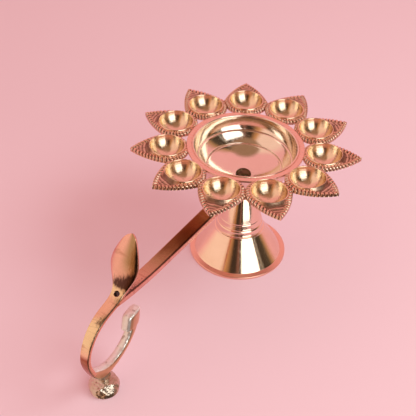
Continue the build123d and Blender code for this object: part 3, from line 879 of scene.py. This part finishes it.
def bar_grid():
    """Carry the section from the eye's far side to the slanted end; past the straight part, the height
    follows a parabola."""
    section = bar_section()
    length = (EYE_R + BAR_END) / EYE_R
    round_eye = 1 - np.cos(np.linspace(0.06, np.pi / 2, 14))
    share = np.concatenate([round_eye, np.linspace(1, length, 90)[1:]]) / length
    end_x = -BAR_END - BAR_PAST_END + section[:, 2] * BAR_SLANT
    x = EYE_R + share[:, None] * (end_x - EYE_R)[None]
    eye = np.sqrt(np.clip(EYE_R ** 2 - x ** 2, 0, None))
    taper = BAR_HALF_ROOT + (BAR_HALF_END - BAR_HALF_ROOT) * np.clip(-x / BAR_END, 0, 1)
    half = np.where(x > 0, eye, np.maximum(eye, taper))
    bevel = np.minimum(BAR_BEVEL[0], half * 0.6)
    inset_share = np.where(section[:, 2] > 0.5, section[:, 1], section[:, 1] * 0.15)
    y = section[:, 0] * (half - bevel * inset_share)
    past = np.clip(-x - BAR_STRAIGHT, 0, None) / (BAR_END - BAR_STRAIGHT)
    z = STAND_H + BAR_RISE * past ** 2 + section[:, 2] * BAR_T
    on_top = (section[:, 2] > 0.5) * (section[:, 1] > 0.5)
    # Darkening on the top: a line along one lower edge, and more over one half near the leaf.
    edge_line = np.exp(-((section[:, 0] + 1.0) / 0.18) ** 2)
    near_leaf = 0.55 * np.clip((-x - 106) / 22, 0, 1) * (0.75 - 0.35 * section[:, 0])
    soot_and_shade = on_top * np.maximum(edge_line * np.clip((-x - 12) / 30, 0, 1), near_leaf)
    # Painted reflection: the top goes burnt brown towards the flower, for the shaded petal undersides that it
    # mirrors, and tan further out.
    painted_reflection = np.clip((x + 128) / 60, 0, 1) * on_top
    return np.stack([x, y, z], axis=-1), {"soot_and_shade": soot_and_shade, "painted_reflection": painted_reflection}


grid, masks = bar_grid()
bar_mesh = surface_mesh("flat_bar", grid, values=masks, sharp_deg=25)
flat_bar = dress("flat_bar", bar_mesh, "handle", "brushed_brass", "handle_bar")

# %% [markdown]
# ## Leaf and curl
# A strip of brass was hammered out into a pointed leaf at one end and curled down at the other to make
# the finger loop. Its front line is the same row of points as in the solid. The section is a thin crowned
# rectangle whose width follows the leaf, and whose thickness grows towards the curl.

# %% Leaf and curl
LEAF_POINTS = [(-19.0, 38.4), (-10.4, 20.9), (-4.0, 4.3), (10.5, -0.6), (22.3, -9.4), (27.4, -24.1),
               (22.2, -41.0)]
LEAF_WIDTHS = [(38.4, 1.4), (36.4, 7.2), (33.0, 11.4), (27.0, 16.2), (20.0, 18.4), (14.0, 16.4), (8.5, 11.4),
               (4.3, 8.2), (-0.6, 7.2), (-41.0, 5.4)]
LEAF_TIP, LEAF_ROOT = LEAF_POINTS[0][1], LEAF_POINTS[2][1]
LEAF_TIP_T = 1.6
LEAF_SWAY = 0.7
LEAF_DISH = 1.8
CURL_T = 2.9


def on_handle(points):
    """Turn (outward, upward) points, counted from the bar's end, into x and z of the lamp."""
    return np.array([(-BAR_END - outward, BAR_END_Z + upward) for outward, upward in points])


def strip_section():
    """Closed section as (share of half width, of thickness): crowned front, rounded edges, flat back."""
    front = np.linspace(-0.94, 0.94, 13)
    front_side = np.stack([front, 0.10 * front ** 2], axis=1)
    right_edge = [(0.985, 0.16), (1.0, 0.3), (1.0, 0.75), (0.97, 0.95)]
    back = np.stack([np.linspace(0.9, -0.9, 7), np.ones(7)], axis=1)
    left_edge = [(-share, depth) for share, depth in right_edge[::-1]]
    return np.concatenate([front_side, right_edge, back, left_edge])


def on_front(section):
    """True for the points of the section that lie on its crowned front."""
    return section[:, 1] < 0.15


def strip_darkening(up, section):
    """Where the front is darkened: a ragged patch above the rivet that climbs on one side, a line along
    the same edge, a smudge below the rivet and a little at the bottom of the curl."""
    side = section[:, 0]
    patch_top = 17.5 - 5.5 * side
    patch = 0.80 * np.clip((up - 5.5) / 2.5, 0, 1) * np.clip((patch_top - up) / 7, 0, 1)
    edge = 0.9 * np.exp(-((side + 0.9) / 0.12) ** 2) * np.clip((34 - up) / 4, 0, 1)
    smudge = 0.5 * np.exp(-((up + 2.2) / 1.6) ** 2) * np.clip(0.6 - side, 0, 1)
    bottom = 0.2 * np.clip((-27 - up) / 3, 0, 1)
    return on_front(section) * np.maximum(np.maximum(patch, edge), np.maximum(smudge, bottom))


def strip_painted_reflection(up, section):
    """Painted reflection: one side of the leaf's front is tinted tan, for the dark part of the room that this
    side mirrors.
    """
    leaf = np.clip(0.45 - section[:, 0] * 1.8, 0, 1) * np.clip((up - 12) / 12, 0, 1)
    return 0.5 * on_front(section) * leaf


def strap_worn(up, section):
    """Where the front is worn to gold: the strap from the rivet down to its low end."""
    return 0.9 * on_front(section) * np.clip((10 - up) / 4, 0, 1) * np.clip((up + 20) / 8, 0, 1)


def strap_scorch(up, section):
    """Where the front is scorched: the strap's low end, down to the braze with the hook."""
    return on_front(section) * np.clip((-19 - up) / 3, 0, 1)


def strip_grid():
    """Carry the section along the front line, square to it; its width is read from the height."""
    line = smooth_line(on_handle(LEAF_POINTS), 150)
    line = np.concatenate([line[:1] + (line[:1] - line[1:2]) * 0.01, line])
    tangent = np.gradient(line, axis=0)
    tangent /= np.linalg.norm(tangent, axis=1)[:, None]
    into = np.stack([-tangent[:, 1], tangent[:, 0]], axis=1)
    widths = smooth_line([(half, BAR_END_Z + upward) for upward, half in LEAF_WIDTHS], 400)
    half = np.interp(line[:, 1], widths[::-1, 1], widths[::-1, 0]) / 2
    leaf_share = np.clip((line[:, 1] - BAR_END_Z - LEAF_ROOT) / (LEAF_TIP - LEAF_ROOT), 0, 1)
    thickness = CURL_T + (LEAF_TIP_T - CURL_T) * leaf_share
    section = strip_section()
    y = half[:, None] * section[:, 0] + LEAF_SWAY * np.sin(np.pi * leaf_share)[:, None]
    dish = LEAF_DISH * np.sin(np.pi * np.clip(leaf_share * 1.05, 0, 1))[:, None] * section[:, 0] ** 2
    depth = thickness[:, None] * section[:, 1] + dish
    x = line[:, :1] + into[:, :1] * depth
    z = line[:, 1:] + into[:, 1:] * depth
    up = line[:, 1:] - BAR_END_Z
    masks = {"soot_and_shade": strip_darkening(up, section), "painted_reflection": strip_painted_reflection(up, section)}
    masks.update(worn=strap_worn(up, section), scorch=strap_scorch(up, section))
    return np.stack([x, y, z], axis=-1), masks


grid, masks = strip_grid()
leaf_mesh = surface_mesh("thumb_leaf", grid, values=masks, sharp_deg=32)
thumb_leaf = dress("thumb_leaf", leaf_mesh, "handle", "brushed_brass", "leaf_curl")

# %% [markdown]
# ## Rivet
# A small hollow rivet holds the leaf to the bar; its open end is the dark dot at the leaf's root. The
# hole is cut out of leaf and bar with a round cutter, and the rivet is a turned ring laid along the same
# axis.

# %% Rivet
RIVET_R = 1.7
RIVET_BORE_R = 1.45
RIVET_LENGTH = 6.2


def rivet_frame():
    """Point on the leaf's front at its root, and the two directions out of the face and down along it."""
    line = smooth_line(on_handle(LEAF_POINTS), 2000)
    root = on_handle([LEAF_POINTS[2]])[0]
    nearest = np.argmin(np.linalg.norm(line - root, axis=1))
    along = line[nearest + 1] - line[nearest - 1]
    along /= np.linalg.norm(along)
    return line[nearest], np.array([along[1], -along[0]]), along


def along_rivet(grid):
    """Lay a grid turned round Z along the rivet's axis, with its zero height on the leaf's face."""
    point, outward, along = rivet_frame()
    x = point[0] + grid[..., 2] * outward[0] + grid[..., 0] * along[0]
    z = point[1] + grid[..., 2] * outward[1] + grid[..., 0] * along[1]
    return np.stack([x, grid[..., 1], z], axis=-1)


def cut_hole(piece, cutter_grid):
    """Take a closed cutter out of a piece with an exact boolean and keep the result as its own mesh."""
    cutter = bpy.data.objects.new("cutter", surface_mesh("cutter", cutter_grid))
    bpy.context.scene.collection.objects.link(cutter)
    boolean = piece.modifiers.new("hole", "BOOLEAN")
    boolean.operation = "DIFFERENCE"
    boolean.solver = "EXACT"
    boolean.object = cutter
    bpy.context.view_layer.update()
    cut = bpy.data.meshes.new_from_object(piece.evaluated_get(bpy.context.evaluated_depsgraph_get()))
    piece.modifiers.remove(boolean)
    piece.data = cut
    bpy.data.objects.remove(cutter)
    print(piece.name, "has", len(cut.polygons), "faces after its hole")


hole = along_rivet(spin([(RIVET_R + 0.02, -9.0), (RIVET_R + 0.02, 3.0)], 40))
cut_hole(thumb_leaf, hole)
cut_hole(flat_bar, hole)
cut_hole(flat_bar, spin([(BOLT_HOLE_R, STAND_H - 2), (BOLT_HOLE_R, STAND_H + BAR_T + 2)], 48))
rivet_line = rounded([(RIVET_BORE_R, -RIVET_LENGTH, 0.1), (RIVET_R, -RIVET_LENGTH, 0.1), (RIVET_R, 0.0, 0.12),
                      (RIVET_BORE_R, 0.0, 0.12)])
# Painted shade: the whole rivet is made near black, for the shade inside its bore.
rivet_mesh = surface_mesh("hollow_rivet", along_rivet(spin(rivet_line, 40)), ring=True, values={"soot_and_shade": 0.9})
dress("hollow_rivet", rivet_mesh, "handle", "dark_brass", "leaf_rivet")

# %% [markdown]
# ## Finger hook and foot
# The hook is rough from the mould: only its two sides were filed flat. A rounded section runs from the
# curl to the knob between an upper and a lower edge, and swells where the knob begins. The button foot
# under it is a squat dome with hammered flats. Both get lumps of a tenth of a millimetre or two where no
# file has been.

# %% Finger hook
HOOK_UPPER = [(24.8, -33.1), (18.0, -38.0), (7.0, -43.7), (-2.8, -42.6), (-11.6, -36.2), (-14.7, -24.6)]
HOOK_LOWER = [(21.6, -41.6), (15.6, -49.4), (9.5, -51.0), (-2.5, -48.5), (-14.8, -40.7), (-21.6, -30.3),
              (-23.0, -23.6)]
HOOK_ROWS = 90
HOOK_HALF_W = 2.7
KNOB_HALF_W = 3.6
HOOK_RIDGE = 0.24
KNOB_START = 0.85
KNOB_STEP = 0.04
KNOB_BULGE = 4.2
KNOB_CAP = 3.9
KNOB_TAPER = 0.08


def hook_grid():
    """Section between the two edges: y = half width * cos, height = half height * sin, both squared off
    by a power, with a low ridge along the middle of the upper and lower face. Past the arm's end the rows
    shrink along a squarish quarter ellipse to close the knob."""
    along = np.linspace(0, 1, HOOK_ROWS)
    upper = smooth_line(on_handle(HOOK_UPPER), HOOK_ROWS)
    lower = smooth_line(on_handle(HOOK_LOWER), HOOK_ROWS)
    swell = np.clip((along - KNOB_START) / KNOB_STEP, 0, 1)
    swell = swell * swell * (3 - 2 * swell)
    spine = upper - lower
    inward = spine / np.linalg.norm(spine, axis=1)[:, None]
    taper = 1 - KNOB_TAPER * np.clip((along - 0.9) / 0.1, 0, 1) ** 2
    upper = upper + inward * (KNOB_BULGE * swell * taper)[:, None]
    middle, half = (upper + lower) / 2, (upper - lower) / 2
    width = HOOK_HALF_W + (KNOB_HALF_W - HOOK_HALF_W) * swell
    cap = np.sin(np.linspace(0, np.pi / 2, 12)[1:])
    shrink = (1 - 0.985 * cap ** 4) ** 0.25
    direction = middle[-1] - middle[-2]
    direction /= np.linalg.norm(direction)
    middle = np.concatenate([middle, middle[-1] + direction * (KNOB_CAP * cap)[:, None]])
    half = np.concatenate([half, half[-1] * shrink[:, None]])
    width = np.concatenate([width, width[-1] * shrink])
    turn = np.linspace(0, 2 * np.pi, 40, endpoint=False)
    round_share = np.concatenate([swell, np.ones(len(cap))])[:, None]
    side = np.sign(np.cos(turn)) * np.abs(np.cos(turn)) ** (0.32 + 0.25 * round_share)
    lift = np.sign(np.sin(turn)) * np.abs(np.sin(turn)) ** (0.4 + 0.2 * round_share)
    lift = lift * (1 - HOOK_RIDGE * np.abs(side) * (1 - round_share))
    y = width[:, None] * side
    x = middle[:, :1] + half[:, :1] * lift
    z = middle[:, 1:] + half[:, 1:] * lift
    grid = np.stack([x, y, z], axis=-1)
    below_top = np.concatenate([np.ones(len(along)), np.clip((0.8 - cap) / 0.2, 0, 1)])[:, None]
    filed = np.clip((np.abs(side) - 0.86) / 0.08, 0, 1) * below_top
    # Painted shade: the hook is darker brown on its +y side, which is turned away from the soft boxes.
    grime_and_shade = 0.24 * np.clip(0.1 + 1.3 * side, 0, 1) * (1 - filed)
    rough = lumps(grid, 3.2, 5) * 0.12 + lumps(grid, 1.3, 6) * 0.06
    centre = np.stack([middle[:, 0], 0 * middle[:, 0], middle[:, 1]], axis=1)[:, None]
    away = grid - centre
    away /= np.linalg.norm(away, axis=-1)[..., None]
    return grid + away * (rough * (1 - filed))[..., None], {"filed": filed, "grime_and_shade": grime_and_shade}


grid, masks = hook_grid()
hook_mesh = surface_mesh("cast_hook", grid, values=masks, sharp_deg=50)
dress("cast_hook", hook_mesh, "handle", "cast_brass", "finger_hook")

# %% Button foot
FOOT_LOW, FOOT_HIGH = (np.array(corner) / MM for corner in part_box("hook_foot"))
FOOT_AT = (FOOT_LOW[0] + FOOT_HIGH[0]) / 2
FOOT_R = (FOOT_HIGH[0] - FOOT_LOW[0]) / 2
FOOT_TOP = FOOT_HIGH[2]
FOOT_MIDDLE_Z = 2.4
FOOT_DOME_H = 7.2
FOOT_SQUAT = np.array([1, 1, 1.28])
FOOT_HAMMER_R = 10.2
FOOT_FLATS = 40


def faceted(grid, centre, size, count, seed):
    """Hammered flats: each point is drawn in towards the centre until it lies behind every one of some
    random planes, which are a little nearer to the centre than the lump's own size."""
    random = np.random.default_rng(seed)
    facing = random.normal(size=(count, 3))
    facing /= np.linalg.norm(facing, axis=1)[:, None]
    reach = size * random.uniform(0.86, 0.98, count)
    away = grid - centre
    draw = np.min(reach / np.maximum(away @ facing.T, reach), axis=-1)
    return centre + away * draw[..., None]


def foot_grid():
    """Squat dome round its own axis: a quarter ellipse from the edge to the neck, with hammered flats."""
    turn = np.linspace(0, np.pi / 2, 44)
    dome_z = FOOT_MIDDLE_Z + FOOT_DOME_H * np.sin(turn)
    dome = np.stack([4.4 + (FOOT_R - 4.6) * np.cos(turn), dome_z], axis=1)
    base = [(1.0, 0.0), (5.0, 0.0), (FOOT_R - 1.3, 0.0), (FOOT_R - 0.6, 0.5), (FOOT_R - 0.3, 1.3)]
    neck = [(4.3, FOOT_TOP - 1.2), (4.2, FOOT_TOP), (1.0, FOOT_TOP)]
    grid = spin(np.concatenate([base, dome, neck]), 120) + (FOOT_AT, 0, 0)
    lifted = np.clip(grid[..., 2] / 1.5, 0, 1) * np.clip((FOOT_TOP - grid[..., 2]) / 1.5, 0, 1)
    centre = np.array([FOOT_AT, 0, FOOT_MIDDLE_Z])
    tall = centre + (grid - centre) * FOOT_SQUAT
    hammered = centre + (faceted(tall, centre, FOOT_HAMMER_R, FOOT_FLATS, 21) - centre) / FOOT_SQUAT
    away = grid - centre
    away /= np.linalg.norm(away, axis=-1)[..., None]
    hammered = hammered + away * (lumps(grid, 1.6, 12) * 0.14 - 0.1)[..., None]
    return grid + (hammered - grid) * lifted[..., None]


# The foot is darkened evenly all over by the same value.
foot_mesh = surface_mesh("button_foot", foot_grid(), values={"filed": 0.0, "grime_and_shade": 0.5}, sharp_deg=60)
dress("button_foot", foot_mesh, "handle", "cast_brass", "hook_foot")

# %% [markdown]
# ## Floor and light
# The lamp stands on plain pale pink card. Metal shows what is around it, so the light is laid out as in a
# small studio: a large soft box in front and to the right, a pale wall to the left, and dark gaps between
# them that draw the crisp bands on the bell. A second soft box is not mirrored: it lights the card and
# what is dull on the lamp. The metal sees the card in a deeper pink than the camera does.

# %% Floor
FLOOR_COLOUR = (0.81, 0.72, 0.80, 1)
FLOOR_DEEP = (0.84, 0.34, 0.37, 1)
FLOOR_GLOW = 0.36
FLOOR_GLOW_IN_METAL = 0.7
FLOOR_HALF = 3.0
FLOOR_FRONT = 0.100


def make_floor():
    """Large card that is part shaded card and part plain emission in a deeper pink, which fills its
    shadows. The metal sees more of the deeper pink, and sees the card end in front of the lamp, as a
    sheet ends at the edge of its table. From below it is clear, so that the hollow stand can be looked
    into."""
    mesh = bpy.data.meshes.new("card_floor")
    corners = [(-FLOOR_HALF, -FLOOR_HALF, 0), (FLOOR_HALF, -FLOOR_HALF, 0), (FLOOR_HALF, FLOOR_HALF, 0),
               (-FLOOR_HALF, FLOOR_HALF, 0)]
    mesh.from_pydata(corners, [], [(0, 1, 2, 3)])
    floor = bpy.data.objects.new("card_floor", mesh)
    bpy.context.scene.collection.objects.link(floor)
    material = bpy.data.materials.new("pink_card")
    material.use_nodes = True
    tree = material.node_tree
    shader = tree.nodes["Principled BSDF"]
    shader.inputs["Base Color"].default_value = FLOOR_COLOUR
    shader.inputs["Roughness"].default_value = 0.9
    shader.inputs["Specular IOR Level"].default_value = 0.1
    glow = add_node(tree, "ShaderNodeEmission", {}, Color=FLOOR_DEEP, Strength=1.0)
    path = tree.nodes.new("ShaderNodeLightPath")
    seen = math_node(tree, "MULTIPLY", path.outputs["Is Glossy Ray"], FLOOR_GLOW_IN_METAL)
    seen = math_node(tree, "MULTIPLY_ADD", path.outputs["Is Camera Ray"], FLOOR_GLOW, seen)
    mix = add_node(tree, "ShaderNodeMixShader", {}, i0=seen, i1=shader.outputs[0], i2=glow.outputs[0])
    place = tree.nodes.new("ShaderNodeTexCoord").outputs["Object"]
    turned = add_node(tree, "ShaderNodeMapping", {}, Vector=place)
    turned.inputs["Rotation"].default_value = (0, 0, -CAMERA_HEADING)
    ahead = add_node(tree, "ShaderNodeSeparateXYZ", {}, Vector=turned.outputs[0]).outputs["X"]
    past_edge = math_node(tree, "LESS_THAN", ahead, -FLOOR_FRONT)
    ends_for_metal = math_node(tree, "MULTIPLY", past_edge, path.outputs["Is Glossy Ray"])
    from_below = tree.nodes.new("ShaderNodeNewGeometry").outputs["Backfacing"]
    hidden = math_node(tree, "MAXIMUM", ends_for_metal, from_below)
    clear = tree.nodes.new("ShaderNodeBsdfTransparent")
    card = add_node(tree, "ShaderNodeMixShader", {}, i0=hidden, i1=mix.outputs[0], i2=clear.outputs[0])
    tree.links.new(card.outputs[0], tree.nodes["Material Output"].inputs["Surface"])
    mesh.materials.append(material)


make_floor()

# %% Soft box
LAMP_MIDDLE = np.array([-0.03, 0.0, 0.06])


def soft_box(name, side_deg, height_deg, distance, width, tall, glow, colour, mirrored=True):
    """Rectangular area light aimed at the lamp; side is turned from the camera's side, positive to its
    right. Its watts are pi times its area times the wanted brightness. One that isn't mirrored lights
    only the card and what is dull."""
    bearing = CAMERA_HEADING + math.pi + math.radians(side_deg)
    rise = math.radians(height_deg)
    back = np.array([math.cos(bearing) * math.cos(rise), math.sin(bearing) * math.cos(rise), math.sin(rise)])
    side = np.cross((0, 0, 1), back)
    side /= np.linalg.norm(side)
    light = bpy.data.lights.new(name, "AREA")
    light.shape = "RECTANGLE"
    light.size, light.size_y = width, tall
    light.energy = math.pi * width * tall * glow
    light.color = colour
    box = bpy.data.objects.new(name, light)
    matrix = np.eye(4)
    matrix[:3, :3] = np.stack([side, np.cross(back, side), back], axis=1)
    matrix[:3, 3] = LAMP_MIDDLE + back * distance
    box.matrix_world = Matrix(matrix)
    box.visible_glossy = mirrored
    bpy.context.scene.collection.objects.link(box)


soft_box("key_box", side_deg=37, height_deg=20, distance=0.9, width=0.70, tall=1.15, glow=2.4,
         colour=(1.0, 0.97, 0.93))
soft_box("side_box", side_deg=84, height_deg=47, distance=1.5, width=0.75, tall=0.75, glow=6.5,
         colour=(1.0, 0.96, 0.96), mirrored=False)

# %% Studio walls
PINK = (0.95, 0.44, 0.43, 1)
CREAM = (1.0, 0.67, 0.54, 1)
DARK = (0.055, 0.032, 0.020, 1)
AMBER = (0.66, 0.30, 0.12, 1)
UMBER = (0.34, 0.16, 0.07, 1)
RUST = (0.30, 0.12, 0.08, 1)
STRAW = (0.50, 0.40, 0.30, 1)
SHADE = (0.09, 0.065, 0.04, 1)
TAN = (0.50, 0.26, 0.12, 1)
WALLS = [(-180, PINK), (-112, PINK), (-92, CREAM), (-42, CREAM), (-30, AMBER), (-21, UMBER), (-15, DARK),
         (-3, DARK), (4, RUST), (9, DARK), (62, DARK), (66, STRAW), (70, DARK), (88, SHADE), (97, TAN),
         (112, PINK), (180, PINK)]
CEILING = (0.36, 0.20, 0.12, 1)
CEILING_LEAN = math.radians(13)
CEILING_FROM, CEILING_FULL = 0.88, 0.93


def make_world():
    """Studio walls by the angle round the lamp, counted from the camera's side, under a dim ceiling that
    leans towards the camera."""
    world = bpy.data.worlds.new("studio")
    bpy.context.scene.world = world
    world.use_nodes = True
    tree = world.node_tree
    direction = tree.nodes.new("ShaderNodeTexCoord").outputs["Generated"]
    turned = add_node(tree, "ShaderNodeMapping", {}, Vector=direction)
    turned.inputs["Rotation"].default_value = (0, 0, math.pi - CAMERA_HEADING)
    parts = add_node(tree, "ShaderNodeSeparateXYZ", {}, Vector=turned.outputs[0]).outputs
    angle = math_node(tree, "ARCTAN2", parts["Y"], parts["X"])
    share = math_node(tree, "MULTIPLY_ADD", angle, 0.5 / math.pi, 0.5)
    ramp = add_node(tree, "ShaderNodeValToRGB", {}, Fac=share)
    stops = ramp.color_ramp.elements
    stops[0].color, stops[1].color = WALLS[0][1], WALLS[-1][1]
    for degrees, colour in WALLS[1:-1]:
        stops.new(degrees / 360 + 0.5).color = colour
    level = math_node(tree, "MULTIPLY", parts["Z"], math.cos(CEILING_LEAN))
    level = math_node(tree, "MULTIPLY_ADD", parts["X"], math.sin(CEILING_LEAN), level)
    high = spread(tree, level, CEILING_FROM, CEILING_FULL)
    tree.links.new(tint(tree, high, ramp.outputs["Color"], CEILING), tree.nodes["Background"].inputs["Color"])


make_world()
bpy.context.scene.view_settings.view_transform = "Standard"
